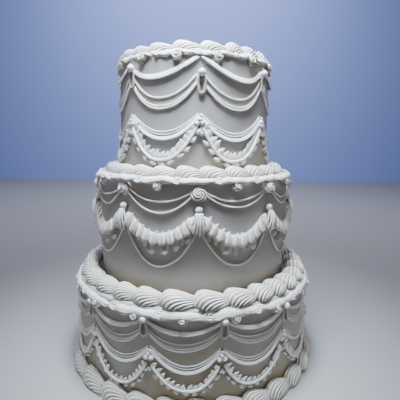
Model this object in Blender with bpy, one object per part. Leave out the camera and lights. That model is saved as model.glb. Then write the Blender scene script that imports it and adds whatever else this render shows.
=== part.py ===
"""A three-tier wedding cake in piped buttercream, as solid icing forms.

Each tier is one closed solid: a cylinder whose wall carries swags of piped string, ribbon and
ruffle, whose rim carries a scroll border, and whose swag points carry pearls, drops, rosettes and
tassels.  Four rings of piped shells are separate solids: one round the foot of each tier and one
on the rim of the top tier.  Units are metres, +Z is up, and the origin is the centre of the face
that the cake stands on.  An angle of 0 faces -Y, the front, and grows towards +X.
"""

import math
import random

import bmesh
import bpy
from mathutils import Matrix, Vector

MM = 0.001

# Driving sizes of the three tiers, bottom to top
WALL_RADIUS = {"bottom": 135.5 * MM, "middle": 109.5 * MM, "top": 85.0 * MM}
FOOT_HEIGHT = {"bottom": 0.0, "middle": 103.0 * MM, "top": 217.5 * MM}
TOP_HEIGHT = {"bottom": 103.0 * MM, "middle": 217.5 * MM, "top": 334.0 * MM}

# Clearance between solids that touch on the real cake
GAP = 0.3 * MM
WALL_GAP = 0.4 * MM

# Hand piping is a little uneven
SEED = 7
SAG_SPREAD = 0.035
SHELL_SPREAD = 0.05
CURL_SPREAD = 0.12

ICING_COLOUR = (0.80, 0.78, 0.72, 1.0)
SHELL_COLOUR = (0.84, 0.82, 0.75, 1.0)
ICING_ROUGHNESS = 0.55


class Row:
    """One level line of a tier's wall: its height and how far it stands out from the wall.

    Both are given at a swag point and at the middle of a swag, in millimetres."""

    def __init__(self, at_point, at_middle, out_point=0.0, out_middle=None, teeth=0.0):
        self.at_point = at_point * MM
        self.at_middle = at_middle * MM
        self.out_point = out_point * MM
        self.out_middle = (out_point if out_middle is None else out_middle) * MM
        self.teeth = teeth * MM


class LipRow:
    """One line of the scroll border on a tier's rim, in millimetres above or below the tier's top.

    At a curl the border drops by `drop` and stands out by `bulge` more."""

    def __init__(self, height, out, drop=0.0, bulge=0.0):
        self.height = height * MM
        self.out = out * MM
        self.drop = drop * MM
        self.bulge = bulge * MM


# The lip's section from its underside, round the outside and back to the flat top
LIPS = {
    "bottom": (
        LipRow(-9.0, 0.4, 4.6, 0.8),
        LipRow(-7.0, 3.4, 4.6, 1.6),
        LipRow(-3.0, 3.6, 1.0, 0.4),
        LipRow(0.6, 2.2),
        LipRow(0.0, 1.2),
    ),
    "middle": (
        LipRow(-6.6, 0.4, 4.6, 0.8),
        LipRow(-5.0, 3.8, 4.6, 1.6),
        LipRow(-1.6, 3.8, 1.0, 0.4),
        LipRow(1.2, 2.0),
        LipRow(0.0, 0.8),
    ),
    "top": (
        LipRow(-4.4, 0.4, 4.8, 0.8),
        LipRow(-2.8, 2.6, 4.8, 1.6),
        LipRow(-0.6, 2.4, 1.0, 0.4),
        LipRow(0.0, 0.8),
    ),
}

# Each tier: swags round it, the angle of one swag point, where the columns of its mesh fall
# along a swag, which columns hold a curl, and its rows from the foot up
TIERS = {
    "bottom": {
        "swags": 12,
        "point_angle": 12.2,
        "steps": (0.0, 1 / 6, 2 / 6, 3 / 6, 4 / 6, 5 / 6),
        "curl_every": 4,
        "curl_columns": (1,),
        "rows": (
            Row(41.0, 21.8),
            Row(44.0, 22.6, 2.5, 3.6, teeth=1.2),
            Row(47.0, 25.2, 3.0, 5.2),
            Row(50.0, 31.0, 2.0, 3.8, teeth=1.8),
            Row(54.0, 36.8),
            Row(58.5, 41.2, 2.5, 4.6),
            Row(62.0, 45.4, 2.0, 3.4),
            Row(66.0, 49.6),
            Row(79.0, 60.2),
            Row(82.0, 63.0, 2.0, 3.8),
            Row(85.0, 66.4),
            Row(86.6, 78.0, 2.4, 3.6),
            Row(90.8, 83.4, 0.4, 1.2),
        ),
    },
    "middle": {
        "swags": 9,
        "point_angle": 2.6,
        "steps": (0.0, 1 / 6, 2 / 6, 3 / 6, 4 / 6, 5 / 6),
        "curl_every": 6,
        "curl_columns": (3,),
        "rows": (
            Row(162.0, 131.8),
            Row(165.0, 133.6, 1.6, 2.6),
            Row(167.4, 136.0),
            Row(170.0, 147.4),
            Row(173.0, 151.2, 4.0, 7.2, teeth=2.0),
            Row(179.0, 159.4, 4.0, 7.6, teeth=-1.4),
            Row(184.0, 167.4, 3.0, 4.6, teeth=2.4),
            Row(185.4, 168.4),
            Row(202.4, 185.2),
            Row(204.0, 186.8, 1.2, 2.2),
            Row(205.7, 191.0),
            Row(207.4, 194.8, 1.2, 2.2),
            Row(208.4, 196.4),
        ),
    },
    "top": {
        "swags": 7,
        "point_angle": 3.5,
        "steps": (0.0, 0.12, 0.25, 0.5, 0.75, 0.88),
        "curl_every": 6,
        "curl_columns": (2, 4),
        "rows": (
            Row(255.0, 231.9),
            Row(258.0, 232.7, 2.5, 3.6, teeth=1.0),
            Row(261.0, 235.2, 3.0, 5.0),
            Row(265.0, 241.0, 2.0, 3.8, teeth=1.8),
            Row(268.0, 247.2),
            Row(271.5, 252.4, 2.5, 4.6),
            Row(275.0, 256.4, 2.0, 3.4),
            Row(279.0, 260.4),
            Row(300.0, 281.4),
            Row(303.0, 284.0, 2.0, 4.0),
            Row(307.0, 288.4),
            Row(310.5, 293.4, 2.0, 3.8),
            Row(314.5, 296.6),
            Row(322.0, 308.6, 1.6, 3.6),
            Row(327.0, 314.4, 0.4, 1.2),
        ),
    },
}

# How full the swag's curve is: 2 is a parabola, more hangs flatter in the middle
SWAG_POWER = 2.2

# The small forms: their lower and upper tips and the rings between, as (height, half width) from
# their centre, and how deep they are, all in mm
PEARL = {"tips": (-3.4, 3.4), "rings": ((0.0, 3.4),), "sides": 6, "depth": 5.4}
DOT_CLUSTER = {"tips": (-5.0, 5.6), "rings": ((-1.2, 3.6),), "sides": 4, "depth": 5.8}
DROP_LOOP = {"tips": (-10.5, 9.5), "rings": ((-5.6, 4.2),), "sides": 4, "depth": 3.6}
TASSEL = {"tips": (-9.6, 9.0), "rings": ((-4.6, 6.4),), "sides": 5, "depth": 8.4}
ROSETTE = {"tips": (-7.2, 7.2), "rings": ((-3.4, 6.4), (3.4, 6.4)), "sides": 6, "depth": 8.4}

# Which small forms each tier's swag points carry, and at what height in mm
SWAG_POINT_FORMS = {
    "bottom": ((PEARL, 88.5), (DROP_LOOP, 79.0), (DOT_CLUSTER, 58.5)),
    "middle": ((ROSETTE, 205.0), (PEARL, 190.0), (TASSEL, 178.0)),
    "top": ((PEARL, 318.0), (DROP_LOOP, 304.0), (DOT_CLUSTER, 271.0)),
}

# Shell rings: shells round each, the angle of one seam, and the section of a full shell: its
# width and height in mm, how far out and up its centre lies in it, and the arc that it takes
SHELL_RINGS = {
    "shells_bottom_foot": {
        "tier": "bottom",
        "shells": 28,
        "seam": -2.3,
        "width": 12.4,
        "height": 20.2,
        "centre": (0.34, 0.38),
        "arc": (112.0, -24.0),
    },
    "shells_middle_foot": {
        "tier": "middle",
        "shells": 31,
        "seam": 1.1,
        "width": 25.4,
        "height": 14.8,
        "centre": (0.48, 0.40),
        "arc": (136.0, -22.0),
    },
    "shells_top_foot": {
        "tier": "top",
        "shells": 25,
        "seam": 4.3,
        "width": 17.6,
        "height": 12.6,
        "centre": (0.44, 0.40),
        "arc": (128.0, -22.0),
    },
    "shells_top_rim": {
        "tier": "top",
        "shells": 20,
        "seam": 5.2,
        "width": 21.6,
        "height": 12.0,
        "arc": (178.0, 2.0),
    },
}

# Stations along a shell, from its seam: how far along, its size, and the depth of its ridges
SHELL_STATIONS = ((0.0, 0.60, 0.06), (0.17, 1.0, 0.13), (0.60, 0.90, 0.13))

# Ridges that show on a shell
RIDGES = 2
RIM_OUTER_RADIUS = 86.6 * MM


def clear_scene():
    """Empties the scene."""
    for item in list(bpy.data.objects):
        bpy.data.objects.remove(item, do_unlink=True)


def around(radius, degrees, height):
    """The point at this radius, angle and height."""
    angle = math.radians(degrees)
    return Vector((radius * math.sin(angle), -radius * math.cos(angle), height))


def icing_material(name, colour):
    """A Principled icing material of this colour."""
    material = bpy.data.materials.new(name)
    material.use_nodes = True
    shader = material.node_tree.nodes["Principled BSDF"]
    shader.inputs["Base Color"].default_value = colour
    shader.inputs["Roughness"].default_value = ICING_ROUGHNESS
    shader.inputs["Metallic"].default_value = 0.0
    return material


def add_object(name, points, faces, material=None):
    """A mesh object of these points and faces, with its faces pointing outwards."""
    mesh = bpy.data.meshes.new(name)
    mesh.from_pydata([tuple(point) for point in points], [], faces)
    shape = bmesh.new()
    shape.from_mesh(mesh)
    bmesh.ops.recalc_face_normals(shape, faces=shape.faces)
    shape.to_mesh(mesh)
    shape.free()
    if material is not None:
        mesh.materials.append(material)
    item = bpy.data.objects.new(name, mesh)
    bpy.context.scene.collection.objects.link(item)
    return item


def shade(item):
    """Smooth shading that keeps creases sharp."""
    item.data.shade_smooth()
    item.data.set_sharp_from_angle(angle=math.radians(40))


def swag_share(along):
    """How far down a swag hangs at this share of its length: 0 at its ends and 1 in its middle."""
    return 1.0 - abs(2.0 * along - 1.0) ** SWAG_POWER


def tier_columns(tier):
    """Each column of a tier's wall as (angle, swag, share along the swag)."""
    pitch = 360.0 / tier["swags"]
    return [
        (tier["point_angle"] + (swag + step) * pitch, swag, step)
        for swag in range(tier["swags"])
        for step in tier["steps"]
    ]


def wall_rows(tier, radius, columns, sags):
    """The rings of points of a tier's wall, from its foot up."""
    rings = []
    for row in tier["rows"]:
        ring = []
        for number, (angle, swag, along) in enumerate(columns):
            share = swag_share(along)
            fall = (row.at_point - row.at_middle) * share * sags[swag]
            out = row.out_point + (row.out_middle - row.out_point) * share
            tooth = row.teeth * share * (1 if number % 2 else -1)
            ring.append(around(radius + out, angle, row.at_point - fall + tooth))
        rings.append(ring)
    return rings


def lip_rows(lip, radius, top, columns, curls):
    """The rings of points of the scroll border on a tier's rim."""
    rings = []
    for row in lip:
        ring = []
        for number, (angle, _, _) in enumerate(columns):
            curl = curls[number]
            ring.append(around(radius + row.out + row.bulge * curl, angle, top + row.height - row.drop * curl))
        rings.append(ring)
    return rings


def stacked_rings(name, rings, material):
    """A closed solid whose wall runs through these rings, with a flat face at each end."""
    count = len(rings[0])
    points = [point for ring in rings for point in ring]
    faces = [tuple(reversed(range(count)))]
    for level in range(len(rings) - 1):
        for column in range(count):
            following = (column + 1) % count
            low, high = level * count, (level + 1) * count
            faces.append((low + column, low + following, high + following, high + column))
    faces.append(tuple(range((len(rings) - 1) * count, len(rings) * count)))
    return add_object(name, points, faces, material)


def stick_on(name, collection, angle, radius, height, form):
    """A small piped form centred on the wall, so that half of it sinks in."""
    widest = max(half_width for _, half_width in form["rings"])
    points = [Vector((0.0, 0.0, form["tips"][0] * MM))]
    for level, half_width in form["rings"]:
        for side in range(form["sides"]):
            turn = math.tau * side / form["sides"]
            depth = form["depth"] * half_width / widest
            points.append(Vector((half_width * math.sin(turn), -depth * math.cos(turn), level)) * MM)
    points.append(Vector((0.0, 0.0, form["tips"][1] * MM)))
    sides, last = form["sides"], len(points) - 1
    faces = []
    for side in range(sides):
        following = (side + 1) % sides
        faces.append((0, 1 + following, 1 + side))
        for ring in range(len(form["rings"]) - 1):
            low, high = 1 + ring * sides, 1 + (ring + 1) * sides
            faces.append((low + side, low + following, high + following, high + side))
        faces.append((last - sides + side, last - sides + following, last))
    place = Matrix.Translation(around(radius, angle, height)) @ Matrix.Rotation(math.radians(angle), 4, "Z")
    item = add_object(name, [place @ point for point in points], faces)
    bpy.context.scene.collection.objects.unlink(item)
    collection.objects.link(item)


def join_forms(item, collection):
    """Joins a collection's forms to an object by one union, then removes them."""
    union = item.modifiers.new("join_forms", "BOOLEAN")
    union.operation = "UNION"
    union.solver = "EXACT"
    union.operand_type = "COLLECTION"
    union.collection = collection
    bpy.context.view_layer.update()
    graph = bpy.context.evaluated_depsgraph_get()
    joined = bpy.data.meshes.new_from_object(item.evaluated_get(graph))
    item.modifiers.clear()
    item.data = joined
    joined.name = item.name
    for form in list(collection.objects):
        bpy.data.objects.remove(form, do_unlink=True)
    bpy.data.collections.remove(collection)


def make_tier(which, material, chance):
    """One tier with its piped wall, its scroll border and the forms at its swag points."""
    tier = TIERS[which]
    radius = WALL_RADIUS[which]
    foot = FOOT_HEIGHT[which] + (GAP if which != "bottom" else 0.0)
    columns = tier_columns(tier)
    sags = [1.0 + chance.uniform(-SAG_SPREAD, SAG_SPREAD) for _ in range(tier["swags"])]
    curls = [
        1.0 + chance.uniform(-CURL_SPREAD, CURL_SPREAD)
        if number % tier["curl_every"] in tier["curl_columns"]
        else 0.0
        for number in range(len(columns))
    ]
    rings = [[around(radius, angle, foot) for angle, _, _ in columns]]
    rings += wall_rows(tier, radius, columns, sags)
    rings += lip_rows(LIPS[which], radius, TOP_HEIGHT[which], columns, curls)
    item = stacked_rings(f"tier_{which}", rings, material)
    forms = bpy.data.collections.new(f"forms_{which}")
    bpy.context.scene.collection.children.link(forms)
    pitch = 360.0 / tier["swags"]
    for swag in range(tier["swags"]):
        angle = tier["point_angle"] + swag * pitch
        for number, (form, height) in enumerate(SWAG_POINT_FORMS[which]):
            stick_on(f"form_{swag}_{number}", forms, angle, radius, height * MM, form)
    join_forms(item, forms)
    shade(item)
    return item


def arc_steps(ring, depth):
    """Each point on the arc of a shell's section: its step, its angle, and its swell as a ridge."""
    start, end = ring["arc"]
    steps = 2 * RIDGES + 1
    return [
        (step, math.radians(start + (end - start) * step / steps), 1.0 + (depth if step % 2 else -depth))
        for step in range(steps + 1)
    ]


def section_point(ring, angle, size, ridge):
    """A point of a shell's section, as (out, up) from the corner that the shell fills."""
    width, height = ring["width"] * MM, ring["height"] * MM
    centre = ring["centre"]
    reach_out, reach_up = width - centre[0] * width, height - centre[1] * height
    out = size * (centre[0] * width + reach_out * ridge * math.cos(angle))
    up = size * (centre[1] * height + reach_up * ridge * math.sin(angle))
    return out, up


def foot_section(ring, wall, floor, size, depth):
    """A shell's section in the corner between a wall and the floor: (radius, height) pairs."""
    section = [(wall, floor)]
    steps = arc_steps(ring, depth)
    for step, angle, ridge in steps:
        out, up = section_point(ring, angle, size, ridge)
        at_wall, on_floor = step == 0, step == len(steps) - 1
        section.append((wall if at_wall else wall + max(out, GAP), floor if on_floor else floor + max(up, GAP)))
    return section


def rim_section(ring, outer, floor, size, depth):
    """A shell's section on the flat rim, arched from its inner foot to its outer one."""
    width, height = ring["width"] * MM, ring["height"] * MM
    middle = outer - width / 2
    section = []
    steps = arc_steps(ring, depth)
    for step, angle, ridge in steps:
        up = 0.0 if step in (0, len(steps) - 1) else size * height * ridge * math.sin(angle)
        section.append((middle + size * width / 2 * ridge * math.cos(angle), floor + up))
    return section


def make_shell_ring(name, ring, material, chance):
    """A closed ring of piped shells, each swelling from its seam and then narrowing to its tail."""
    which = ring["tier"]
    on_rim = name.endswith("rim")
    pitch = 360.0 / ring["shells"]
    sections = []
    for shell in range(ring["shells"]):
        uneven = 1.0 + chance.uniform(-SHELL_SPREAD, SHELL_SPREAD / 4)
        for along, size, depth in SHELL_STATIONS:
            angle = ring["seam"] + (shell + along) * pitch
            if on_rim:
                section = rim_section(ring, RIM_OUTER_RADIUS, TOP_HEIGHT[which] + GAP, size * uneven, depth)
            else:
                wall = WALL_RADIUS[which] + WALL_GAP
                floor = FOOT_HEIGHT[which] + (GAP if which != "bottom" else 0.0)
                section = foot_section(ring, wall, floor, size * uneven, depth)
            sections.append([around(radius, angle, height) for radius, height in section])
    count = len(sections[0])
    points = [point for section in sections for point in section]
    faces = []
    for station in range(len(sections)):
        following = (station + 1) % len(sections)
        for corner in range(count):
            beside = (corner + 1) % count
            faces.append(
                (
                    station * count + corner,
                    following * count + corner,
                    following * count + beside,
                    station * count + beside,
                )
            )
    item = add_object(name, points, faces, material)
    shade(item)
    return item


def main():
    clear_scene()
    chance = random.Random(SEED)
    icing = icing_material("icing", ICING_COLOUR)
    shells = icing_material("shell_icing", SHELL_COLOUR)
    for which in ("bottom", "middle", "top"):
        make_tier(which, icing, chance)
    for name, ring in SHELL_RINGS.items():
        make_shell_ring(name, ring, shells, chance)


main()
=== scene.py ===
"""A three-tier wedding cake in piped buttercream, dressed in full detail.

Each tier has a smooth wall with swags of string, ribbon and ruffle, pearls, loops, rosettes and
tassels where the swags meet, a scroll border on its rim and rings of piped shells. Sizes are in
millimetres until a piece becomes a mesh. An angle of 0 faces -Y, the front, and grows towards +X.
"""

import bmesh
import bpy
import numpy as np
from mathutils import Matrix, Vector


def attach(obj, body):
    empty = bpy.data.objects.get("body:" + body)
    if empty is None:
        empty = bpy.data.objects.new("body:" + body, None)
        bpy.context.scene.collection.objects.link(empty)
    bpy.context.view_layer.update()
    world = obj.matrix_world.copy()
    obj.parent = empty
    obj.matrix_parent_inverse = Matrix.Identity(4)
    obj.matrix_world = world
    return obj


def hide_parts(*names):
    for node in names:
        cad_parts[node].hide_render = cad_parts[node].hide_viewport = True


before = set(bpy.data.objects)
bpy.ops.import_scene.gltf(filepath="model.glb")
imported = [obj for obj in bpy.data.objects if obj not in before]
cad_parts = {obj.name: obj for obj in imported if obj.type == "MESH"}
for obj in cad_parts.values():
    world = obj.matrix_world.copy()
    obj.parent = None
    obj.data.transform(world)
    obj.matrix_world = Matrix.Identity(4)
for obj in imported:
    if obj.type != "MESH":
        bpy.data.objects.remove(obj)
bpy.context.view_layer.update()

MM = 0.001
UP = np.array([0.0, 0.0, 1.0])

# The tiers: wall radius, height of the foot and of the top
RADIUS = {"bottom": 135.5, "middle": 109.5, "top": 85.0}
FOOT = {"bottom": 0.0, "middle": 103.3, "top": 217.8}
TOP = {"bottom": 103.0, "middle": 217.5, "top": 334.0}

# How high above a tier's foot the wall's icing carries painted shade, darker and yellower, for the
# shadow and warm bounce light low on the wall, and over how much height that fades
FOOT_PAINTED_SHADE = {"bottom": (100.0, 88.0), "middle": (17.0, 12.0), "top": (24.0, 18.0)}

# The camera: where it stands, its turn, its pitch, its roll and its lens
CAMERA_PLACE = (0.0, -0.4286, 0.2497)
CAMERA_YAW = 1.07
CAMERA_PITCH = 9.16
CAMERA_ROLL = -0.675
CAMERA_LENS = 31.68
CAMERA_SENSOR = 36.0


def unit(vectors):
    """Vectors of length 1."""
    return vectors / np.maximum(np.linalg.norm(vectors, axis=-1, keepdims=True), 1e-9)


def around(radius, degrees, height):
    """Points at these radii, angles and heights."""
    angle = np.radians(degrees)
    radius, angle, height = np.broadcast_arrays(radius, angle, height)
    return np.stack([radius * np.sin(angle), -radius * np.cos(angle), height], axis=-1)


def outward_at(degrees):
    """The directions straight out from the axis at these angles."""
    return around(1.0, degrees, 0.0)


def grid_faces(rows, columns):
    """Quads of a grid whose columns wrap round."""
    row, column = np.meshgrid(np.arange(rows - 1), np.arange(columns), indexing="ij")
    next_row, next_column = row + 1, (column + 1) % columns
    quads = [
        row * columns + column,
        row * columns + next_column,
        next_row * columns + next_column,
        next_row * columns + column,
    ]
    return np.stack(quads, axis=-1).reshape(-1, 4)


class Mould:
    """Gathers closed tubes of icing and makes one mesh object of them."""

    def __init__(self):
        self.points = []
        self.faces = []
        self.deep = []
        self.count = 0

    def tube(self, rings, deep=0.0):
        """Adds a tube through rings of points, closed at both ends.

        deep is how much painted shade each point takes, from 0 to 1: the more, the deeper it lies in the
        grooves and other shaded places."""
        rows, columns = rings.shape[:2]
        ends = np.stack([rings[0].mean(axis=0), rings[-1].mean(axis=0)])
        column = np.arange(columns)
        beside = (column + 1) % columns
        base = (rows - 1) * columns
        start = np.stack([np.full(columns, rows * columns), beside, column], axis=-1)
        end = np.stack([np.full(columns, rows * columns + 1), base + column, base + beside], axis=-1)
        for faces in (grid_faces(rows, columns), start, end):
            self.faces.extend((faces + self.count).tolist())
        self.points.append(np.concatenate([rings.reshape(-1, 3), ends]))
        depths = np.broadcast_to(deep, (rows, columns)).reshape(-1)
        self.deep.append(np.concatenate([depths, [depths[0], depths[-1]]]))
        self.count += rows * columns + 2

    def make(self, name, material, node, slot):
        """Turns the tubes into a piece that rides on the cake and replaces a solid."""
        mesh = bpy.data.meshes.new(name)
        mesh.from_pydata((np.concatenate(self.points) * MM).tolist(), [], self.faces)
        shape = bmesh.new()
        shape.from_mesh(mesh)
        bmesh.ops.recalc_face_normals(shape, faces=shape.faces)
        shape.to_mesh(mesh)
        shape.free()
        # Each point's painted shade goes to the material as a mask
        painted_shade_mask = mesh.attributes.new("painted_shade_mask", "FLOAT", "POINT")
        painted_shade_mask.data.foreach_set("value", np.concatenate(self.deep))
        mesh.shade_smooth()
        mesh.materials.append(material)
        piece = bpy.data.objects.new(name, mesh)
        bpy.context.scene.collection.objects.link(piece)
        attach(piece, "root")
        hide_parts(node)


def round_section(count):
    """A round section of radius 1 and the painted shade of its points, which is none."""
    angle = np.linspace(0.0, 2 * np.pi, count, endpoint=False)
    return np.stack([np.cos(angle), np.sin(angle)], axis=-1), np.zeros(count)


def star_section(ridges, depth, per_ridge=2):
    """A ridged section of radius 1, as a star nozzle leaves it, with painted shade down its grooves."""
    angle = np.linspace(0.0, 2 * np.pi, ridges * per_ridge, endpoint=False)
    crest = np.abs(np.cos(ridges * angle / 2))
    radius = 1.0 - depth * (1.0 - crest)
    return np.stack([radius * np.cos(angle), radius * np.sin(angle)], axis=-1), 1.0 - crest


def band_section():
    """A flat band's section, 2 wide and 2 thick, with rounded corners."""
    wide, thick = 0.16, 0.45
    corner = np.linspace(0.0, np.pi / 2, 3)
    points = []
    for turn, (across, up) in enumerate(((1, 1), (-1, 1), (-1, -1), (1, -1))):
        for angle in corner + turn * np.pi / 2:
            side = across * (1.0 - wide) + wide * np.cos(angle)
            points.append((side, up * (1.0 - thick) + thick * np.sin(angle)))
    return np.array(points), np.zeros(len(points))


# The nozzles' sections
ROUND = round_section(10)
THREAD = round_section(8)
BAND = band_section()
CORD = star_section(5, 0.30)
BORDER = star_section(10, 0.20)
CRIMPED = star_section(5, 0.13, 3)


def sweep(mould, path, outward, section, size, twist=0.0, painted_shade_mask=1.0, lean=0.0):
    """Sweeps a section along a path.

    The section's first axis lies along the wall, across the path, and its second stands out.
    size scales it at each point of the path, either both ways alike or each its own way. twist turns
    the section before that, and lean tips it after, so that its lower edge stands out. groove is how
    strongly its grooves take painted shade, for the shadow down in them."""
    shape, depths = section
    tangent = unit(np.gradient(path, axis=0))
    upward = unit(np.cross(outward, tangent))
    forward = np.cross(tangent, upward)
    side = np.cos(lean) * upward - np.sin(lean) * forward
    rise = np.cos(lean) * forward + np.sin(lean) * upward
    size = np.asarray(size, dtype=float)
    if size.ndim < 2:
        size = np.repeat(np.broadcast_to(size, len(path))[:, None], 2, axis=1)
    turn = np.broadcast_to(twist, len(path))[:, None]
    across = shape[None, :, 0] * np.cos(turn) - shape[None, :, 1] * np.sin(turn)
    out = shape[None, :, 0] * np.sin(turn) + shape[None, :, 1] * np.cos(turn)
    rings = (
        path[:, None]
        + (across * size[:, :1])[..., None] * side[:, None]
        + (out * size[:, 1:])[..., None] * rise[:, None]
    )
    mould.tube(rings, depths * painted_shade_mask)


def blob(mould, centre, size, outward, rows=9, columns=14):
    """A pearl of icing, with its size given across, upwards and outwards."""
    margin = 0.05
    polar = np.linspace(margin, np.pi - margin, rows)[:, None]
    turn = np.linspace(0.0, 2 * np.pi, columns, endpoint=False)[None]
    side = unit(np.cross(UP, outward))
    across = (np.sin(polar) * np.cos(turn))[..., None] * side * size[0]
    up = (np.cos(polar) * np.ones_like(turn))[..., None] * UP * size[1]
    out = (np.sin(polar) * np.sin(turn))[..., None] * outward * size[2]
    mould.tube(centre + across + up + out)


def rounded_ends(count, share, least=0.25):
    """Sizes along a strand that thins over a share of its length at both its ends."""
    along = np.linspace(0.0, 1.0, count)
    near = np.minimum(along, 1.0 - along) / share
    rounded = np.sqrt(np.clip(near * (2.0 - near), 0.0, 1.0))
    return np.where(near < 1.0, least + (1.0 - least) * rounded, 1.0)


class Wall:
    """The wall of a tier, on which piping is placed by angle, height and how far it stands out.

    swags is how many swags go round it, first is the angle of swag point 0, and shifts moves single
    swag points by so many degrees."""

    def __init__(self, which, swags, first, shifts):
        self.which = which
        self.radius = RADIUS[which]
        self.swags = swags
        self.first = first
        self.shifts = shifts

    def point(self, number):
        """The angle of a swag point."""
        turns, within = divmod(number + self.swags // 2, self.swags)
        own = within - self.swags // 2
        return self.first + own * 360.0 / self.swags + self.shifts.get(own, 0.0) + 360.0 * turns

    def numbers(self):
        """The numbers of its swags, with those at the front about 0."""
        return range(-(self.swags // 2), self.swags - self.swags // 2)

    def place(self, degrees, height, out):
        """Points on the wall and the outward directions there."""
        outward = outward_at(np.broadcast_to(degrees, np.shape(height)))
        return around(self.radius + out, degrees, height), outward

    def turn(self, across):
        """The angle that a distance along the wall takes."""
        return np.degrees(np.asarray(across) / self.radius)


def swag_line(left, right, ends, low, skew=0.0, power=2.2, count=37):
    """A swag as (angles, heights), from its left end to its right.

    ends are the heights of its ends and low is its lowest; skew moves its low to the right, and a
    high power makes it flatter there."""
    along = np.linspace(0.0, 1.0, count)
    fall = (1.0 - np.abs(2.0 * along - 1.0) ** power) * (1.0 + skew * (2.0 * along - 1.0))
    chord = ends[0] + (ends[1] - ends[0]) * along
    deep = (np.mean(ends) - low) / fall.max()
    return left + (right - left) * along, chord - fall * deep


def wander(rng, count, reach, waves=5, decay=0.7):
    """A slow uneven wave, as a hand makes, that is 0 at both ends; a low decay makes it ragged."""
    along = np.linspace(0.0, 1.0, count)
    total = np.zeros(count)
    for wave in range(1, waves + 1):
        total += rng.uniform(-1.0, 1.0) * np.sin(np.pi * wave * along) / wave ** decay
    return total * reach


def strand(mould, wall, line, radius, out, section=THREAD, offset=0.0, flat=1.0, lean=0.0):
    """A piped line along a swag, set off above or below it and closing up on it at its ends."""
    degrees, heights = line
    count = len(degrees)
    along = np.linspace(0.0, 1.0, count)
    closed, closing = 0.45, 0.22
    near = np.clip(np.minimum(along, 1.0 - along) / closing, 0.0, 1.0)
    spread = closed + (1.0 - closed) * near ** 0.8
    path, outward = wall.place(degrees, heights + offset * spread, out)
    size = radius * rounded_ends(count, 0.07, 0.3)
    sweep(mould, path, outward, section, np.stack([size, size * flat], axis=-1), lean=lean)


def petal(mould, wall, degrees, height, tilt, length, width, thick, out, profile, bend=0.0, hook=0.0,
          section=ROUND, painted_shade_amount=0.0):
    """A short lobe of icing that runs up from its foot, leaning to the right by tilt degrees.

    profile gives its width from foot to tip; bend is how far its tip stands out from its foot, and
    hook how far the tip is drawn to the right; tinge is how much painted shade it takes all over."""
    count = len(profile)
    along = np.linspace(0.0, 1.0, count)
    lean = np.radians(tilt)
    degrees = degrees + wall.turn(np.sin(lean) * length * along + hook * along ** 3)
    path, outward = wall.place(degrees, height + np.cos(lean) * length * along, out + bend * along ** 1.3)
    size = np.stack([profile * width / 2, np.sqrt(profile) * thick / 2], axis=-1)
    sweep(mould, path, outward, (section[0], section[1] + painted_shade_amount), size)


# Rows and columns of a pearl
PEARL_GRID = (11, 18)

# The dots of a cluster, in units of its size: how far across and up, and how large
DOTS = ((-0.95, -0.7, 1.0), (0.95, -0.6, 1.0), (0.0, 0.75, 0.95), (0.35, 2.1, 0.62))

# Widths of the small lobes from foot to tip
TOOTH = np.array([0.8, 1.0, 1.0, 0.96, 0.88, 0.72, 0.48, 0.26, 0.08])
PLEAT = np.array([0.45, 0.85, 0.97, 1.0, 1.0, 0.98, 0.92, 0.78, 0.42, 0.2, 0.07])
TEAR = np.array([0.2, 0.66, 0.9, 1.0, 0.96, 0.8, 0.58, 0.34, 0.08])
FIN = np.array([0.4, 0.8, 0.95, 1.0, 0.95, 0.85, 0.6])


def swirl(mould, wall, degrees, height, out, reach, rise, arms, turns, turn, lean):
    """A round of icing whose ridges wind in to its middle, as a turning star nozzle leaves it.

    reach is its half size across and upwards, rise is how far it stands out, arms is how many ridges
    it has, and lean is how far its face tips up."""
    rows, columns, deep, sunk = 7 * turns + 2, 26, 0.45, 1.5
    share = np.concatenate([np.linspace(0.02, 1.0, rows), [1.0]])[:, None]
    angle = np.linspace(0.0, 2 * np.pi, columns, endpoint=False)[None]
    crest = np.abs(np.cos(arms * (angle + turn) / 2 + np.pi * turns * share ** 0.85))
    spread = share * (1.0 + 0.05 * crest * share)
    dome = rise * (0.3 + 0.7 * np.sqrt(np.clip(1.0 - share ** 2, 0.0, 1.0)))
    dome = dome - rise * deep * (1.0 - crest) * np.clip(share * 3.0, 0.0, 1.0)
    dome[-1] = -sunk - out
    centre, outward = wall.place(degrees, height, out)
    side = outward_at(degrees + 90.0)
    upward = UP * np.cos(lean) - outward * np.sin(lean)
    face = outward * np.cos(lean) + UP * np.sin(lean)
    across = (reach[0] * spread * np.cos(angle))[..., None] * side
    above = (reach[1] * spread * np.sin(angle))[..., None] * upward
    stand = (dome * np.ones_like(angle))[..., None] * face
    # Painted shade down its winding grooves
    mould.tube(centre + across + above + stand, 1.0 - crest ** 1.8)


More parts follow.
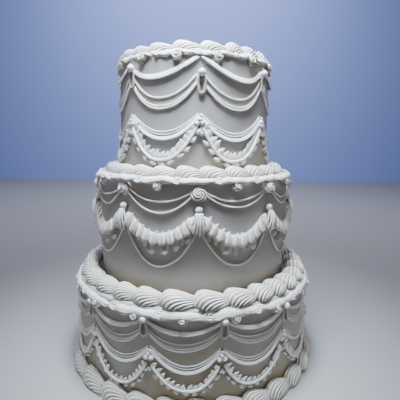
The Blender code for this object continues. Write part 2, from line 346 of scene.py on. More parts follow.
def tier_body(which, material):
    """The smooth coat of icing on a tier: its wall, its rounded rim and its flat top."""
    radius, foot, top = RADIUS[which], FOOT[which], TOP[which]
    rng = np.random.default_rng(len(which))
    under, rim, steps, columns, waves_round = 30.0, 3.0, 20, 180, 9
    profile = [(radius - under, foot), (radius, foot)]
    profile += [(radius, foot + (top - foot - rim) * step / steps) for step in range(1, steps + 1)]
    for bend in (0.5, 1.05, np.pi / 2):
        profile.append((radius - rim + rim * np.cos(bend), top - rim + rim * np.sin(bend)))
    profile += [(radius * share, top) for share in (0.93, 0.86, 0.75, 0.6, 0.45, 0.3, 0.15, 0.04)]
    profile = np.array(profile)
    angle = np.linspace(0.0, 360.0, columns, endpoint=False)
    turn = np.radians(angle)[None]
    radii, height = profile[:, :1], profile[:, 1:]

    # Slow waves, as the spatula leaves them, go outwards on the wall and upwards on the top
    waves = np.zeros((len(profile), columns))
    for _ in range(waves_round):
        lobes, climb, phase = rng.integers(2, 9), rng.uniform(-0.05, 0.05), rng.uniform(0, 2 * np.pi)
        waves += rng.uniform(0.04, 0.13) * np.sin(lobes * turn + climb * height + phase)
    on_top = (height >= top - 0.01).astype(float)
    heights = height + waves * 0.8 * on_top * (radii < radius * 0.9)
    # Painted shade: the wall grows darker and yellower towards its foot, standing in for the shadow and
    # warm bounce light low on it, unevenly with the waves
    reach, fade = FOOT_PAINTED_SHADE[which]
    painted_shade_amount = np.clip((foot + reach - heights) / fade, 0.0, 1.0) * (0.75 + 1.6 * waves)
    mould = Mould()
    mould.tube(around(radii + waves * (1.0 - on_top), angle[None], heights), np.clip(painted_shade_amount, 0.0, 1.0))
    mould.make(f"coat_{which}", material, f"tier_{which}", "icing")


def loop(mould, wall, degrees, top, low, half_width, foot_width, thick):
    """A narrow U of piped string that hangs below a pearl."""
    stand, arm_count, bend_count = 1.9, 9, 13
    bend = np.linspace(0.0, np.pi, bend_count)
    arm = np.linspace(half_width, foot_width, arm_count)[:-1]
    across = np.concatenate([-arm, -foot_width * np.cos(bend), arm[::-1]])
    drop = np.linspace(top, low + foot_width, arm_count)[:-1]
    up = np.concatenate([drop, low + foot_width - foot_width * np.sin(bend), drop[::-1]])
    path, outward = wall.place(degrees + wall.turn(across), up, stand)
    sweep(mould, path, outward, CORD, thick * rounded_ends(len(up), 0.05, 0.5))


def dot_cluster(mould, wall, degrees, height, size, rng):
    """Four dots of icing set close together."""
    stand = 2.6
    for across, up, share in DOTS:
        radius = size * share * rng.uniform(0.92, 1.08)
        centre, outward = wall.place(degrees + wall.turn(across * size), height + up * size, stand)
        blob(mould, centre, (radius, radius * 0.95, radius * 0.9), outward)


def fine_swags(wall, design, material, rng):
    """The swags of the bottom and top tiers: ribbon, cords, lines, and string over a ruffle."""
    lines, ruffles, pearls = Mould(), Mould(), Mould()
    shift = design["lower_shift"]
    for swag in wall.numbers():
        left, right = wall.point(swag), wall.point(swag + 1)
        left_turn, left_lift = shift.get(swag, (0.0, 0.0))
        right_turn, right_lift = shift.get(swag + 1, (0.0, 0.0))
        low_left, low_right = left + left_turn, right + right_turn
        low_ends = np.array([left_lift, right_lift])
        own = design["changes"].get(swag, {})
        change = {key: own.get(key, rng.uniform(-1.0, 1.0)) for key in ("ribbon", "cord", "line", "string")}
        skew = {key: own.get(key + "_skew", rng.uniform(-0.12, 0.12)) for key in change}
        ribbon(lines, wall, left, right, design["ribbon"], own, change["ribbon"], skew["ribbon"], rng)
        double_cord(lines, wall, left, right, design["cords"], change["cord"], skew["cord"])

        inset = 0.01 * (low_right - low_left)
        peak, line_low, sizes, gaps = design["lines"]
        line = swag_line(low_left + inset, low_right - inset, peak + low_ends, line_low + change["line"],
                         skew["line"], 2.0)
        for radius, gap in zip(sizes[:2], gaps[:2]):
            strand(lines, wall, line, radius, radius * 0.9, offset=gap)
        strand(lines, wall, line, sizes[2], out=1.5, section=BAND, offset=gaps[2], flat=0.5, lean=0.55)

        start_height, string_low, thick, string_out = design["string"]
        inset *= 3
        line = swag_line(low_left + inset, low_right - inset, start_height + low_ends,
                         string_low + change["string"], skew["string"], 2.3)
        strand(lines, wall, line, thick, string_out)
        ruffle(ruffles, wall, line, design["teeth"], rng)
        droplets(ruffles, wall, line, design["drops"], rng)

        size, pearl_height, pearl_turn = design["pearl"]
        place, height = left + pearl_turn, pearl_height + design["pearl_lifts"].get(swag, 0.0)
        centre, outward = wall.place(place, height, size * 0.9)
        blob(pearls, centre, (size, size * 1.02, size), outward, *PEARL_GRID)
        loop_length, *loop_sizes = design["loop"]
        loop(pearls, wall, place, height - size * 0.6, height - loop_length, *loop_sizes)
        dots_height, dot_size = design["dots"]
        dot_cluster(pearls, wall, low_left, dots_height + low_ends[0], dot_size, rng)
    for mould, name in ((lines, "strings"), (ruffles, "ruffle"), (pearls, "pearls")):
        mould.make(f"{name}_{wall.which}", material, f"tier_{wall.which}", "icing")


def ribbon(mould, wall, left, right, sizes, own, change, skew, rng):
    """A flat ribbon swag with a small crack across it."""
    ends, low, half = sizes
    count, thick, lean, crack_depth, crack_width = 61, 0.95, 0.42, 0.4, 0.012
    inset = 0.02 * (right - left)
    ends = own.get("ribbon_ends", ends)
    line = swag_line(left + inset, right - inset, ends, low + change, skew, 2.0, count)
    along = np.linspace(0.0, 1.0, count)
    full = half * (0.5 + 0.5 * np.sin(np.pi * along) ** 0.7)
    crack = own.get("crack", rng.uniform(0.2, 0.85))
    full = full * (1.0 - crack_depth * np.exp(-((along - crack) / crack_width) ** 2))
    path, outward = wall.place(line[0], line[1], 1.0 + 0.7 * np.sin(np.pi * along) ** 0.5)
    sweep(mould, path, outward, BAND, np.stack([full, np.full(count, thick)], axis=-1), lean=lean)


def double_cord(mould, wall, left, right, sizes, change, skew):
    """Two cords that hang one below the other with a thin fill of icing between them, coloured with
    painted shade for the shadow there.
    """
    (upper_end, upper_low), (lower_end, lower_low), thick, upper_share, spacing, painted_shade_amount = sizes
    fill_thick = 0.7
    inset = 0.035 * (right - left)
    upper = swag_line(left + inset, right - inset, (upper_end, upper_end), upper_low + change, skew)
    lower = swag_line(left + inset, right - inset, (lower_end, lower_end), lower_low + change, skew)
    strand(mould, wall, upper, thick * upper_share, thick * 0.9)
    strand(mould, wall, lower, thick * 0.85, thick * 0.9, offset=thick * spacing)
    strand(mould, wall, lower, thick, thick * 1.1, offset=-thick * spacing)
    # The fill between the cords takes painted shade, for the shadow there
    path, outward = wall.place(upper[0], (upper[1] + lower[1]) / 2, 0.0)
    fill = np.stack([np.maximum(upper[1] - lower[1], 1.0) / 2, np.full(len(path), fill_thick)], axis=-1)
    sweep(mould, path, outward, (BAND[0], np.full(len(BAND[0]), painted_shade_amount)), fill)


def slope_of(line, wall, place):
    """Angle, height and steepness of a swag at a share of its length."""
    degrees, heights = line
    run, climb = np.radians(np.gradient(degrees)) * wall.radius, np.gradient(heights)
    length = np.cumsum(np.hypot(run, climb))
    share = (length - length[0]) / (length[-1] - length[0])
    steep = np.degrees(np.arctan2(climb, run))
    return tuple(np.interp(place, share, values) for values in (degrees, heights, steep))


def ruffle(mould, wall, line, teeth, rng):
    """A frill that stands up behind a string, with its pointed tips drawn to the right."""
    number, tall_end, tall_middle, wide = teeth
    for tooth in range(number):
        place = (tooth + 0.5 + rng.uniform(-0.12, 0.12)) / number
        degrees, height, steep = slope_of(line, wall, place)
        inner = np.sin(np.pi * place) ** 1.5
        tilt = -steep * 0.55 + rng.uniform(-7.0, 7.0)
        length = (tall_end + (tall_middle - tall_end) * inner) * rng.uniform(0.86, 1.14)
        width = wide * rng.uniform(0.92, 1.08)
        petal(mould, wall, degrees, height - 0.8, tilt, length, width, thick=3.0, out=1.0,
              profile=TOOTH, bend=1.3, hook=2.0 * rng.uniform(0.6, 1.3))


def droplets(mould, wall, line, drops, rng):
    """Tear-drops that lie along the underside of a string, with their points up towards it."""
    number, long, wide = drops
    for drop in range(number):
        place = (drop + 0.5 + rng.uniform(-0.15, 0.15)) / number
        degrees, height, steep = slope_of(line, wall, place)
        hand = 1.0 if place > 0.5 else -1.0
        tilt = hand * (82.0 - 0.62 * abs(steep)) + rng.uniform(-12.0, 12.0)
        down = 3.5 + rng.uniform(-0.4, 0.9)
        length = long * rng.uniform(0.85, 1.12)
        lean, fall = np.radians(tilt), np.radians(steep)
        degrees = degrees + wall.turn(np.sin(fall) * down - np.sin(lean) * length / 2)
        foot = height - np.cos(fall) * down - np.cos(lean) * length / 2
        petal(mould, wall, degrees, foot, tilt, length, wide * rng.uniform(0.9, 1.1), thick=wide,
              out=2.3, profile=TEAR, bend=-0.7)


def garland_tier(wall, material, rng):
    """The middle tier: thin strings, rosettes, pearls and tassels, and a thick pleated garland."""
    lines, pleats, points = Mould(), Mould(), Mould()
    string_radius, rosette_height = 0.88, 205.0
    for swag in wall.numbers():
        left, right = wall.point(swag), wall.point(swag + 1)
        inset = 0.03 * (right - left)
        raised = GARLAND_RAISED.get(swag, rng.uniform(-1.0, 1.0)), GARLAND_RAISED.get(swag + 1, 0.0)
        lows = GARLAND_LOWS.get(swag, tuple(rng.uniform(-1.5, 1.5) for _ in range(4)))
        for end, low, out, shift in GARLAND_STRINGS:
            degrees, heights = swag_line(left + inset, right - inset, (end, end), low + lows[shift],
                                         rng.uniform(-0.1, 0.1), 2.1)
            heights = heights + wander(rng, len(heights), 0.5)
            strand(lines, wall, (degrees, heights), string_radius, out)
        end, low, out, shift = GARLAND_LINE
        ends = (end + raised[0], end + raised[1])
        line = swag_line(left + inset, right - inset, ends, low + lows[shift], 0.0, 2.0)
        path, outward = wall.place(line[0], line[1], out)
        core = np.array(GARLAND_CORE) * rounded_ends(len(path), 0.08)[:, None]
        sweep(pleats, path, outward, ROUND, core)
        garland(pleats, wall, line, rng)
        fins(pleats, wall, line, GARLAND_DROPS.get(swag), rng)

        pearl_height, pearl_size, tassel_top, tassel_low = TASSEL_POINT
        centre, outward = wall.place(left, pearl_height + raised[0], pearl_size)
        blob(points, centre, (pearl_size, pearl_size, pearl_size), outward, *PEARL_GRID)
        tassel(points, wall, left, tassel_top + raised[0], tassel_low + raised[0], rng)
        height = ROSETTE_HEIGHTS.get(swag, rosette_height + rng.uniform(-1.0, 1.0))
        swirl(points, wall, left, height, out=0.5, reach=(7.4, 6.5), rise=6.4, arms=3, turns=3,
              turn=rng.uniform(0, 6), lean=0.25)
    for mould, name in ((lines, "strings"), (pleats, "garland"), (points, "tassels")):
        mould.make(f"{name}_middle", material, "tier_middle", "icing")


def garland(mould, wall, line, rng):
    """Wide pleats side by side along a swag: round feet that stand out and small drawn tips."""
    number, long, wide, thick, stand, margin = 10, 13.2, 10.2, 5.8, 5.4, 0.05
    for pleat in range(number):
        place = margin + (1.0 - 2 * margin) * (pleat + 0.5 + rng.uniform(-0.08, 0.08)) / number
        degrees, height, steep = slope_of(line, wall, place)
        tilt = -steep * 0.55 + rng.uniform(-6.0, 6.0)
        length = long * rng.uniform(0.93, 1.08)
        lean = np.radians(tilt)
        foot = height - np.cos(lean) * length * 0.5
        degrees = degrees - wall.turn(np.sin(lean) * length * 0.5)
        hook = 2.8 * rng.uniform(0.5, 1.3) * (1.0 - 0.6 * abs(steep) / 70.0)
        # Each pleat takes a little painted shade all over, for the shadow between the pleats
        petal(mould, wall, degrees, foot, tilt, length, wide * rng.uniform(0.9, 1.07), thick,
              stand + rng.uniform(-0.7, 0.8), PLEAT, bend=-3.4, hook=hook, section=CRIMPED, painted_shade_amount=0.1)


def fins(mould, wall, line, drops, rng):
    """A second row of thin folds below the garland, in painted shade for its shadow, with a bright drop
    on the end of some.
    """
    number, long, wide, thick = 11, 13.0, 5.4, 2.0
    drop_down, drop_reach, drop_long, drop_wide = 14.2, 3.2, 6.8, 4.4
    if drops is None:
        drops = [(fin + 0.5) / number for fin in range(number) if rng.uniform() < 0.45]
    for fin in range(number):
        place = (fin + 0.5 + rng.uniform(-0.1, 0.1)) / number
        degrees, height, _ = slope_of(line, wall, place)
        length = long * rng.uniform(0.85, 1.08)
        tilt = 180.0 + rng.uniform(-6.0, 6.0)
        # The fins take painted shade, for the garland's shadow on them
        petal(mould, wall, degrees, height - 2.0, tilt, length, wide, thick, 0.3, FIN, painted_shade_amount=0.5)
    for place in drops:
        degrees, height, steep = slope_of(line, wall, place)
        hand = 1.0 if place > 0.45 else -1.0
        tilt = np.clip(80.0 - steep, 20.0, 160.0) * hand + rng.uniform(-8.0, 8.0)
        lean = np.radians(tilt)
        degrees = degrees - wall.turn(np.sin(lean) * drop_reach)
        foot = height - drop_down - np.cos(lean) * drop_reach
        petal(mould, wall, degrees, foot, tilt, drop_long, drop_wide, drop_wide, 3.2, TEAR)


def tassel(mould, wall, degrees, top, low, rng):
    """A fan of strands below a pearl, round a core coloured with painted shade."""
    strands, count = 6, 15
    along = np.linspace(0.0, 1.0, count)
    for number in range(strands):
        # The strands spread as they fall, and the outer ones are shorter and lie flatter
        share = number / (strands - 1) * 2.0 - 1.0
        across = share * (2.5 + 5.3 * along) - 0.9 * along ** 3
        length = (top - low) * (1.0 - 0.22 * share * share) * rng.uniform(0.95, 1.05)
        bulge = 4.6 + (5.4 - 3.0 * share * share) * np.sin(np.pi * (0.08 + 0.77 * along)) ** 0.8
        path, outward = wall.place(degrees + wall.turn(across), top - length * along, bulge)
        size = (0.66 + 0.12 * along) * rounded_ends(count, 0.12, 0.4)
        sweep(mould, path, outward, THREAD, size)
    # The core behind the strands takes the full painted shade, for the shadow between them
    path, outward = wall.place(degrees, top - (top - low) * 0.8 * along, 3.0)
    core = np.sin(np.pi * (0.08 + 0.84 * along)) ** 0.6
    size = np.stack([(1.8 + 3.4 * along) * core, (2.6 + along ** 0.5) * core], axis=-1)
    sweep(mould, path, outward, (ROUND[0], np.ones(len(ROUND[0]))), size)


def scroll_head(mould, wall, degrees, height, band, rng):
    """Nested C-shaped ridges on the rounded start of a scroll, open to the right."""
    stand, thick, half, lean = band
    arm, near, ridge = 7, 0.6, 0.85
    bend = np.linspace(0.5, 1.5, 11) * np.pi
    for share, upper, lower in ((0.84, 4.0, 2.0), (0.42, 2.0, 3.0)):
        size = share * half * rng.uniform(0.92, 1.08)
        arms = np.linspace(upper, near, arm), np.linspace(near, lower, arm)
        across = np.concatenate([arms[0], size * 1.3 * np.cos(bend), arms[1]])
        up = np.concatenate([np.full(arm, size), size * np.sin(bend), np.full(arm, -size)])
        up = up * (1.0 - 0.25 * np.clip(across / 9.0, 0.0, 1.0))
        push = thick * (0.95 - 0.35 * share)
        reach = degrees + wall.turn(across)
        radius = wall.radius + stand - np.sin(lean) * up + np.cos(lean) * push
        path = around(radius, reach, height + np.cos(lean) * up + np.sin(lean) * push)
        sweep(mould, path, outward_at(reach), THREAD, ridge * rounded_ends(len(up), 0.4, 0.1))


def scroll_border(wall, design, material, rng):
    """The border on a tier's rim: broad ridged scrolls that overhang it, with a curl under some."""
    scrolls, first_curl = design["scrolls"], design["first_curl"]
    half, thick, lean = design["band"]
    stand, sink = design["middle"]
    curl_size, curl_sink, curl_out = design["curl"]
    top = TOP[wall.which]
    mould = Mould()
    pitch = 360.0 / scrolls
    count, ridge = 46, 1.35
    overlap, length, tail_start = 0.05, 1.16, 0.74
    stalk_count, stalk_start, stalk_end, stalk_across = 10, 2.2, stand + 1.0, 10.0
    along = np.linspace(0.0, 1.0, count)
    tail = np.clip((along - tail_start) / (1.0 - tail_start), 0.0, 1.0) ** 1.5
    for scroll in range(scrolls):
        # The scroll sinks and thins over its tail
        start = first_curl + (scroll + 0.5 + rng.uniform(-0.04, 0.04)) * pitch
        degrees = start + pitch * (length * along - overlap)
        outward = outward_at(degrees)
        lift = 0.5 * np.sin(np.pi * along) - half * 0.5 * tail + wander(rng, count, 0.8, 7, 0.45)
        middle = top - sink + lift
        swell = 0.84 + 0.20 * np.sin(np.pi * np.clip(1.1 * along + 0.2, 0, 1))
        swell = (swell + wander(rng, count, 0.15, 11, 0.35)) * (1.0 - 0.55 * tail)
        radius = wall.radius + stand + wander(rng, count, 0.5, 8)
        size = np.stack([half * swell, thick * (0.4 + 0.6 * swell)], axis=-1)
        size = size * rounded_ends(count, 0.05, 0.35)[:, None]
        turn = rng.uniform(0, 6) + 0.5 * along
        # Its grooves take painted shade at 0.4 strength
        sweep(mould, around(radius, degrees, middle), outward, BORDER, size, turn, 0.4, lean)

        # A thinner cord runs along its lower edge, and ridges curl round its head
        edge = half * 0.62 + wander(rng, count, 0.8, 9, 0.45)
        path = around(radius + np.sin(lean) * edge, degrees, middle - np.cos(lean) * edge + 0.6)
        sweep(mould, path, outward, CORD, ridge * swell * rounded_ends(count, 0.08, 0.3), 2.5 * along)
        scroll_head(mould, wall, start + 0.01 * pitch, top - sink + 0.2, (stand, thick, half, lean), rng)
        if scroll % design["curl_every"]:
            continue

        # The curl hangs on a short stalk from the scroll above
        place = first_curl + (scroll + rng.uniform(-0.03, 0.03)) * pitch
        height = top - curl_sink + rng.uniform(-0.4, 0.4)
        size = curl_size * rng.uniform(0.9, 1.12)
        swirl(mould, wall, place, height, curl_out, (size, size), size * 0.9, arms=1, turns=2,
              turn=rng.uniform(0, 6), lean=0.35)
        stalk = np.linspace(0.0, 1.0, stalk_count)
        reach = place + wall.turn(size * 0.3 + stalk_across * stalk)
        climb = height + size * 0.6 + (curl_sink - sink - half * 0.5 - size * 0.6) * stalk
        path = around(wall.radius + stalk_start + (stalk_end - stalk_start) * stalk, reach, climb)
        sweep(mould, path, outward_at(reach), CORD, size * 0.4 * (1.0 - 0.4 * stalk))
    mould.make(f"border_{wall.which}", material, f"tier_{wall.which}", "icing")


def shell_surface(ridges, rows, head, depth):
    """A ridged shell of unit size, whose ridges run from a point under its head to its tail.

    Gives points (along, outward, up) in a box from -1 to 1, with the tail at +1, and the painted
    shade of each point, deepest down its grooves and less on the broad folds.
    Low on its outer side the ridges are broad folds, and over its top they are fine; its underside,
    which nothing shows, is plain."""
    low, high, end, per_ridge, under_count = -50.0, 205.0, 310.0, 4, 5
    fine = np.radians(np.linspace(low, high, 400))
    broad = 1.0 - np.clip((np.degrees(fine) + 5.0) / 45.0, 0.0, 1.0)
    passed = np.cumsum(1.0 - 0.40 * broad)
    passed = passed / passed[-1] * round(ridges * (high - low) / 360.0)
    phase = np.linspace(0.0, passed[-1], int(passed[-1]) * per_ridge, endpoint=False)
    upper = np.interp(phase, passed, fine)
    under = np.radians(np.linspace(high, end, under_count, endpoint=False))
    plain = np.zeros(under_count)
    around_it = np.concatenate([upper, under])
    wave = np.abs(np.cos(np.pi * np.concatenate([phase, plain])))
    fold = np.concatenate([np.interp(upper, fine, depth * (1.0 + 0.1 * broad)), plain + depth])

    # Each ridge leaves the head towards its own place on the shell's middle, drawn a little wider
    distance = 1.3
    turn = np.arctan2(distance * np.sin(around_it) - head[1], distance * np.cos(around_it) - head[0])[None]
    polar = np.linspace(0.06, np.pi - 0.05, rows)[:, None]
    reach = np.tan(polar / 2) * 1.25
    first = head[0] + reach * np.cos(turn)
    second = head[1] + reach * np.sin(turn)
    total = first ** 2 + second ** 2
    points = np.stack([total - 1.0, 2 * first, 2 * second], axis=-1) / (total + 1.0)[..., None]
    fade = np.clip(np.sin(polar) / 0.4, 0.0, 1.0)
    swell = 1.0 - fold * fade * (1.0 - wave ** 0.9)
    # Painted shade down the grooves, lighter on the broad folds and fading towards the poles
    painted_shade_amount = np.concatenate([np.interp(upper, fine, 1.0 - 0.4 * broad), plain + 1.0])
    return points * swell[..., None], (1.0 - wave ** 1.8) * painted_shade_amount * fade


def shell_ring(name, spec, material, rng):
    """A ring of piped shells, each head lying on the tail of the one before it."""
    points, grooves = shell_surface(spec["ridges"], spec["rows"], spec["head"], spec["depth"])
    lengthwise = points[..., 0]
    along = (lengthwise + 1.0) / 2
    body = np.clip(1.0 - np.abs(lengthwise) ** 2.8, 0.0, 1.0) ** 0.42
    sphere = np.sqrt(np.clip(1.0 - lengthwise ** 2, 1e-6, 1.0))
    taper = 1.0 - spec["taper"] * along ** 1.25
    across = points[..., 1] / sphere * body * taper
    up = points[..., 2] / sphere * body * taper
    hump = 1.0 + 0.06 * np.cos(np.pi * along)
    # Painted shade where the tail runs under the next shell and at the head's point
    shade = np.clip((along - 0.70) / 0.16, 0.0, 1.0) * 0.6 + np.clip(1.0 - along / 0.05, 0.0, 1.0) * 0.4
    centre, floor, belly = spec["centre"], spec["floor"], 0.22
    mould = Mould()
    for seam, pitch in shell_seams(spec):
        uneven = rng.uniform(0.95, 1.04)
        tall = spec["height"] * uneven
        wide = spec["width"] * uneven * (1.0 + spec["oval"] * np.cos(2 * np.radians(seam)))
        height = floor + tall * belly * taper + up * tall * (1.0 - belly) * hump
        over_edge = np.clip(across - 0.5, 0.0, 0.5) * 2.0
        height = np.maximum(height, floor - spec["droop"] * over_edge)
        radius = spec["inner"] + wide * centre + across * wide * (1.0 - centre)
        radius = radius + spec["sway"] * np.sin(np.pi * along)
        degrees = seam + pitch * (-spec["lap"] + (1.0 + spec["lap"] + spec["tail"]) * along)
        # and painted shade low down, where the shell meets what it lies on
        low = np.clip(1.0 - (height - floor) / 3.0, 0.0, 1.0) * 0.15
        mould.tube(around(radius, degrees, height), np.clip(grooves + shade + low, 0.0, 1.0))
    mould.make(name, material, name.replace("piped_", "shells_"), "shell_icing")


def shell_seams(spec):
    """Each shell's seam and how far it is to the next, with the measured front ones kept."""
    front = spec["front"]
    rest = spec["shells"] - len(front) + 1
    gap = (front[0] + 360.0 - front[-1]) / rest
    seams = list(front) + [front[-1] + gap * step for step in range(1, rest)]
    following = seams[1:] + [seams[0] + 360.0]
    return [(seam, after - seam) for seam, after in zip(seams, following)]


# What the rings of shells have in common: how far a shell reaches back over its seam and on past the
# next one, how much it thins to its tail, where its ridges meet and how deep they are, how far its
# middle sways outwards, how far out in its width its axis lies, how much the ring is oval, and how
# far it droops over the edge it lies on
SHELL_COMMON = {
    "rows": 23, "lap": 0.10, "tail": 0.22, "taper": 0.56, "head": (0.15, -0.90), "depth": 0.17,
    "sway": 0.3, "centre": 0.5, "oval": 0.0, "droop": 0.0,
}

# The rings of shells: how many there are, the seams seen in front, and where the ring lies
SHELLS = {
    "piped_bottom_foot": {
        "shells": 28, "front": (-52.7, -38.0, -25.5, -13.5, -2.0, 9.5, 21.0, 32.5, 44.5, 57.5),
        "inner": 134.0, "width": 13.9, "height": 20.6, "floor": 0.0, "ridges": 24,
        "centre": 0.30, "taper": 0.54, "tail": 0.26, "sway": 0.4, "head": (0.15, -0.92),
    },
    "piped_middle_foot": {
        "shells": 31, "front": (-48.9, -36.0, -24.7, -12.6, 1.6, 14.6, 27.3, 37.3, 46.7),
        "inner": 110.0, "width": 27.4, "height": 15.0, "floor": 103.3, "ridges": 22,
        "tail": 0.24, "sway": 0.4, "head": (0.15, -0.92), "oval": 0.07, "droop": 2.0,
    },
    "piped_top_foot": {
        "shells": 25, "front": (-23.3, -9.5, 4.3, 20.2, 33.9),
        "inner": 85.0, "width": 19.5, "height": 12.2, "floor": 217.8, "ridges": 19,
        "centre": 0.45, "rows": 22,
    },
    "piped_top_rim": {
        "shells": 20, "front": (-64.0, -49.0, -33.0, -14.0, 5.2, 23.4, 37.3, 55.4),
        "inner": 65.5, "width": 21.4, "height": 13.4, "floor": 334.2, "ridges": 21,
        "lap": 0.12,
    },
}

# The scroll borders: the scroll's half width, half thickness and lean; how far its middle stands out
# and lies below the top; the curl's half size, how far it lies below the top and how far it stands
# out; and how many scrolls there are to a curl
BORDERS = {
    "bottom": {
        "scrolls": 18, "first_curl": -3.2, "curl_every": 1,
        "band": (4.2, 1.8, 0.56), "middle": (1.4, 5.4), "curl": (4.4, 9.8, 1.6),
    },
    "middle": {
        "scrolls": 18, "first_curl": 22.0, "curl_every": 2,
        "band": (3.5, 1.8, 0.58), "middle": (2.1, 2.3), "curl": (4.2, 7.4, 1.8),
    },
    "top": {
        "scrolls": 14, "first_curl": -11.0, "curl_every": 1,
        "band": (2.9, 2.0, 0.55), "middle": (-0.2, 1.4), "curl": (4.5, 3.4, 0.6),
    },
}

# The parts of a fine swag, with the heights of its ends and its low: the ribbon and its half width; the
# upper and lower cord, their thickness, the upper one's share of it, the lower pair's spacing and the
# painted shade of the fill, for the shadow between the cords; the lines, their sizes and places; the
# string, its thickness and how far it stands out; the teeth's number, lengths at the ends and in the
# middle, and width; the drops' number, length and width; the pearl's size, height and turn; the loop's
# length, half width at its top and its foot, and thickness; the dots' height and size. Then single
# swags' own changes
TOP_DESIGN = {
    "ribbon": ((326.0, 327.0), 312.0, 2.7),
    "cords": ((314.0, 292.2), (306.5, 283.4), 1.15, 1.0, 1.05, 0.4),
    "lines": (276.5, 256.0, (0.8, 0.9, 1.8), (3.7, 1.2, -2.5)),
    "string": (266.0, 233.0, 1.5, 3.1),
    "teeth": (15, 9.4, 9.6, 9.2),
    "drops": (11, 8.4, 4.5),
    "pearl": (3.6, 314.8, 1.0),
    "loop": (18.8, 3.8, 2.5, 1.45),
    "dots": (270.0, 2.6),
    "pearl_lifts": {-1: 7.8, 0: 0.0, 1: 6.0},
    "lower_shift": {},
    "changes": {
        -1: {
            "ribbon": 0.4, "ribbon_ends": (322.0, 329.0), "ribbon_skew": -0.25, "crack": 0.80,
            "cord": 0.0, "line": 0.3, "string": 0.0,
        },
        0: {
            "ribbon": -1.2, "ribbon_ends": (329.0, 322.0), "ribbon_skew": 0.35, "crack": 0.86,
            "cord": -0.4, "line": -0.8, "string": -1.2,
        },
    },
}

BOTTOM_DESIGN = {
    "ribbon": ((91.0, 91.0), 80.8, 2.1),
    "cords": ((83.0, 70.5), (80.0, 64.8), 0.72, 0.8, 1.6, 0.8),
    "lines": (64.5, 45.4, (0.6, 0.65, 1.45), (3.6, 1.1, -2.3)),
    "string": (49.0, 22.8, 1.3, 2.8),
    "teeth": (14, 6.2, 6.6, 5.4),
    "drops": (11, 5.4, 3.0),
    "pearl": (3.3, 92.0, 0.0),
    "loop": (16.2, 2.3, 3.3, 1.25),
    "dots": (57.0, 2.5),
    "pearl_lifts": {},
    "lower_shift": {-2: (1.5, 3.0), -1: (1.9, 0.0), 0: (-0.7, 0.0), 1: (-1.0, 3.0)},
    "changes": {
        -1: {"ribbon": 0.0, "cord": -0.6, "line": -0.6, "string": 2.2},
        0: {"ribbon": 0.6, "cord": 1.0, "line": 1.0, "string": 2.2},
    },
}

# The garland tier: the end height, low and stand of its strings and of its garland, and which of the
# swag's shifts each takes; the half width and half thickness of the garland's core; the pearl's height
# and size, and the top and low of the tassel
GARLAND_STRINGS = ((208.0, 195.3, 1.2, 0), (206.5, 187.4, 1.4, 1), (167.0, 133.0, 1.6, 3))
GARLAND_LINE = (182.5, 160.2, 1.4, 2)
GARLAND_CORE = (4.4, 3.4)
TASSEL_POINT = (189.4, 3.4, 187.0, 165.5)

# The garland tier's own unevenness at the front: each pearl's lift, each swag's shifts of its upper
# two strings, garland and lower string, its bright drops and the rosettes' heights
GARLAND_RAISED = {-1: -0.2, 0: 0.0, 1: -1.8}
GARLAND_LOWS = {-1: (-0.2, -2.2, 1.1, 0.0), 0: (1.4, 2.6, -1.2, 0.0)}
GARLAND_DROPS = {-1: (0.42, 0.57, 0.71, 0.86), 0: (0.35, 0.72)}
ROSETTE_HEIGHTS = {-1: 206.0, 0: 203.2, 1: 206.5}


def noise(tree, place, scale, detail):
    """A noise texture in the piece's own coordinates."""
    texture = tree.nodes.new("ShaderNodeTexNoise")
    texture.inputs["Scale"].default_value = scale
    texture.inputs["Detail"].default_value = detail
    tree.links.new(place.outputs["Object"], texture.inputs["Vector"])
    return texture


def scaled_sum(tree, scaled, factor, added):
    """A node that gives one value times a factor plus another value."""
    total = tree.nodes.new("ShaderNodeMath")
    total.operation = "MULTIPLY_ADD"
    total.inputs[1].default_value = factor
    tree.links.new(scaled, total.inputs[0])
    tree.links.new(added, total.inputs[2])
    return total


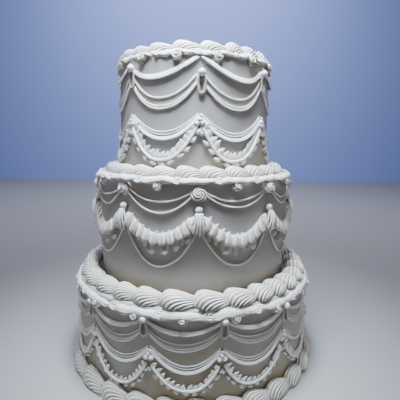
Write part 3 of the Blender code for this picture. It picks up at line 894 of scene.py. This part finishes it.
def icing(name, colour, shade, roughness, pores, dapple):
    """Buttercream: soft and slightly translucent and finely pored, with painted shade in its grooves.

    shade is the darker, yellower colour painted where its points' shade mask is high, for the shadow
    and warm bounce light down in grooves and hollows; pores is how strongly its fine pores show, and
    dapple is how much of the shade its faint clouds take on."""
    material = bpy.data.materials.new(name)
    material.use_nodes = True
    tree = material.node_tree
    nodes, links = tree.nodes, tree.links
    shader = nodes["Principled BSDF"]
    shader.inputs["Specular IOR Level"].default_value = 0.42
    shader.inputs["Subsurface Weight"].default_value = 0.12
    shader.inputs["Subsurface Radius"].default_value = (0.0014, 0.0011, 0.0008)
    shader.inputs["Subsurface Scale"].default_value = 1.0
    place = nodes.new("ShaderNodeTexCoord")
    clouds = noise(tree, place, 38.0, 4.0)

    # Painted shade: the points' mask, with faint clouds, mixes the colour towards the shade colour
    painted_shade_mask = nodes.new("ShaderNodeAttribute")
    painted_shade_mask.attribute_name = "painted_shade_mask"
    mottle = nodes.new("ShaderNodeMapRange")
    mottle.inputs["From Min"].default_value = 0.35
    mottle.inputs["From Max"].default_value = 0.75
    mottle.inputs["To Max"].default_value = dapple
    links.new(clouds.outputs["Fac"], mottle.inputs["Value"])
    depth = scaled_sum(tree, painted_shade_mask.outputs["Fac"], 0.95, mottle.outputs["Result"])
    tint = nodes.new("ShaderNodeMix")
    tint.data_type = "RGBA"
    tint.inputs["A"].default_value = (*colour, 1.0)
    tint.inputs["B"].default_value = (*shade, 1.0)
    links.new(depth.outputs["Value"], tint.inputs["Factor"])
    links.new(tint.outputs["Result"], shader.inputs["Base Color"])

    gloss = nodes.new("ShaderNodeMapRange")
    gloss.inputs["To Min"].default_value = roughness - 0.07
    gloss.inputs["To Max"].default_value = roughness + 0.09
    links.new(clouds.outputs["Fac"], gloss.inputs["Value"])
    links.new(gloss.outputs["Result"], shader.inputs["Roughness"])

    grain = noise(tree, place, 900.0, 3.0)
    drag = noise(tree, place, 160.0, 2.0)
    relief = scaled_sum(tree, drag.outputs["Fac"], 2.0, grain.outputs["Fac"])
    bump = nodes.new("ShaderNodeBump")
    bump.inputs["Strength"].default_value = pores
    bump.inputs["Distance"].default_value = 0.0005
    links.new(relief.outputs["Value"], bump.inputs["Height"])
    links.new(bump.outputs["Normal"], shader.inputs["Normal"])
    return material


def plain_stage(name, points, colour):
    """A plain pale sheet of the surroundings, given by its corners."""
    mesh = bpy.data.meshes.new(name)
    mesh.from_pydata(points, [], [tuple(range(len(points)))])
    material = bpy.data.materials.new(name)
    material.use_nodes = True
    shader = material.node_tree.nodes["Principled BSDF"]
    shader.inputs["Base Color"].default_value = (*colour, 1.0)
    shader.inputs["Roughness"].default_value = 0.7
    mesh.materials.append(material)
    sheet = bpy.data.objects.new(name, mesh)
    bpy.context.scene.collection.objects.link(sheet)


def soft_light(name, place, target, size, power, colour, spread=180.0):
    """A square soft light that faces a point; spread is the angle that its beam fans out to."""
    data = bpy.data.lights.new(name, "AREA")
    data.shape = "SQUARE"
    data.size = size
    data.energy = power
    data.color = colour
    data.spread = np.radians(spread)
    light = bpy.data.objects.new(name, data)
    light.location = place
    light.rotation_euler = (Vector(target) - Vector(place)).to_track_quat("-Z", "Y").to_euler()
    bpy.context.scene.collection.objects.link(light)


def studio():
    """Soft cool light from above and a dim pale surround."""
    cake = (0.0, 0.0, 0.15)
    soft_light("key", (-0.01, -0.135, 0.57), (0.0, -0.06, 0.2), 0.17, 1.95, (0.72, 0.84, 1.0), spread=68.0)
    soft_light("overhead", (0.0, -0.2, 2.6), (0.0, 0.0, 0.0), 2.6, 12.0, (0.92, 0.96, 1.0))
    for name, side in (("left_fill", -0.75), ("right_fill", 0.75)):
        soft_light(name, (side, -0.25, 0.4), cake, 0.5, 0.75, (0.98, 0.965, 1.0))
    soft_light("back_fill", (0.2, 0.9, 0.9), cake, 0.6, 1.7, (1.0, 0.98, 0.95))
    soft_light("backdrop_light", (0.0, 1.0, 1.3), (0.0, 1.9, 0.3), 1.4, 21.0, (0.78, 0.86, 1.0))
    world = bpy.data.worlds.new("surround")
    world.use_nodes = True
    background = world.node_tree.nodes["Background"]
    background.inputs["Color"].default_value = (0.86, 0.84, 0.86, 1.0)
    background.inputs["Strength"].default_value = 0.12
    bpy.context.scene.world = world


def set_camera():
    """The camera at the photograph's place and angle."""
    yaw, pitch, roll = (np.radians(angle) for angle in (CAMERA_YAW, CAMERA_PITCH, CAMERA_ROLL))
    forward = np.array([np.sin(yaw) * np.cos(pitch), np.cos(yaw) * np.cos(pitch), -np.sin(pitch)])
    right = np.array([np.cos(yaw), -np.sin(yaw), 0.0])
    down = np.cross(forward, right)
    level = np.cos(roll) * right + np.sin(roll) * down
    below = -np.sin(roll) * right + np.cos(roll) * down
    turn = Matrix([list(level), list(-below), list(-forward)]).transposed()
    data = bpy.data.cameras.new("camera")
    data.lens = CAMERA_LENS
    data.sensor_width = CAMERA_SENSOR
    data.clip_start = 0.01
    camera = bpy.data.objects.new("camera", data)
    camera.matrix_world = Matrix.Translation(CAMERA_PLACE) @ turn.to_4x4()
    bpy.context.scene.collection.objects.link(camera)
    bpy.context.scene.camera = camera


def main():
    """Sets the stage and pipes the cake."""
    set_camera()
    studio()
    wide, back, high, below = 6.0, 1.9, 4.0, -0.0005
    floor = [(-wide, -wide, below), (wide, -wide, below), (wide, wide, below), (-wide, wide, below)]
    plain_stage("floor", floor, (0.36, 0.35, 0.345))
    backdrop = [(-wide, back, -0.01), (wide, back, -0.01), (wide, back, high), (-wide, back, high)]
    plain_stage("backdrop", backdrop, (0.36, 0.46, 1.0))
    # The walls' icing is painted far darker than the piping's, a painted shade for the walls' shadow; both
    # take painted shade in their grooves and hollows
    smooth = icing("smooth_icing_painted_shade", colour=(0.435, 0.408, 0.385), shade=(0.34, 0.275, 0.165),
                   roughness=0.50, pores=0.10, dapple=0.14)
    piped = icing("piped_icing", colour=(0.89, 0.87, 0.835), shade=(0.31, 0.25, 0.14),
                  roughness=0.42, pores=0.16, dapple=0.08)
    for which in RADIUS:
        tier_body(which, smooth)
    rng = np.random.default_rng(5)
    walls = {
        "top": Wall("top", 7, 3.5, {-1: 0.9, 1: -1.6}),
        "middle": Wall("middle", 9, 2.6, {-1: 0.4, 1: -0.5}),
        "bottom": Wall("bottom", 12, 12.2, {-1: -1.0}),
    }
    fine_swags(walls["top"], TOP_DESIGN, piped, rng)
    fine_swags(walls["bottom"], BOTTOM_DESIGN, piped, rng)
    garland_tier(walls["middle"], piped, rng)
    for which, design in BORDERS.items():
        scroll_border(walls[which], design, piped, rng)
    for name, spec in SHELLS.items():
        shell_ring(name, {**SHELL_COMMON, **spec}, piped, rng)


main()
